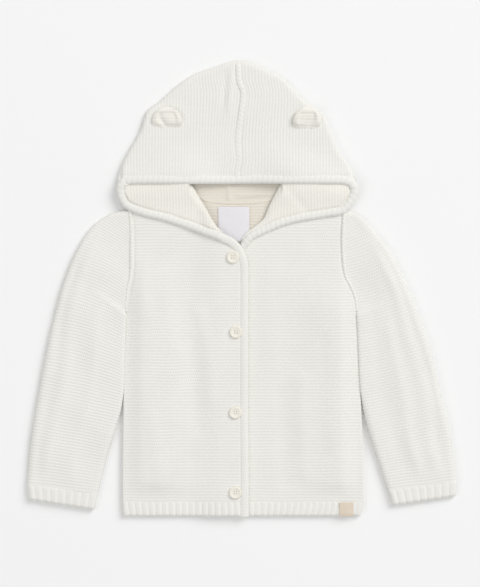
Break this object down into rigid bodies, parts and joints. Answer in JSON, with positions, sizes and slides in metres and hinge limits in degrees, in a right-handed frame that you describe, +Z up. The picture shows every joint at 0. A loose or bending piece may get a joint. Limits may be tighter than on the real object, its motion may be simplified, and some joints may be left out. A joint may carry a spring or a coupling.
{
  "type": "hooded baby cardigan",
  "caption": "Knitted baby cardigan with a hood and small rounded ears, long ribbed-cuff sleeves and a buttoned front, laid flat on its back.",
  "frame": {"origin": "middle of the underside of the laid-flat garment's box", "axes": "+Z up from the surface it lies on, +Y from the hem towards the hood's tip, +X towards the wearer's left sleeve"},
  "size_m": [0.495, 0.525, 0.0158],
  "materials": {
    "knit": "soft matte garter-stitch cotton knit",
    "rib": "soft matte ribbed cotton knit",
    "button": "satin",
    "label": "woven satin",
    "tag": "woven matte"
  },
  "bodies": {
    "root": {"back_panel": "knit", "front_right_panel": "knit", "front_left_panel": "knit", "sleeve_right": "knit", "sleeve_left": "knit", "hood_right": "knit", "hood_left": "knit", "ear_right": "knit", "ear_left": "knit", "hem_rib_back": "rib", "hem_rib_front_right": "rib", "hem_rib_front_left": "rib", "cuff_right": "rib", "cuff_left": "rib", "hood_edge_band": "rib", "front_band_right": "rib", "front_band_left": "rib", "hood_seam": "rib", "button_1": "button", "button_2": "button", "button_3": "button", "button_4": "button", "neck_label": "label", "hem_tag": "tag"}
  },
  "joints": []
}
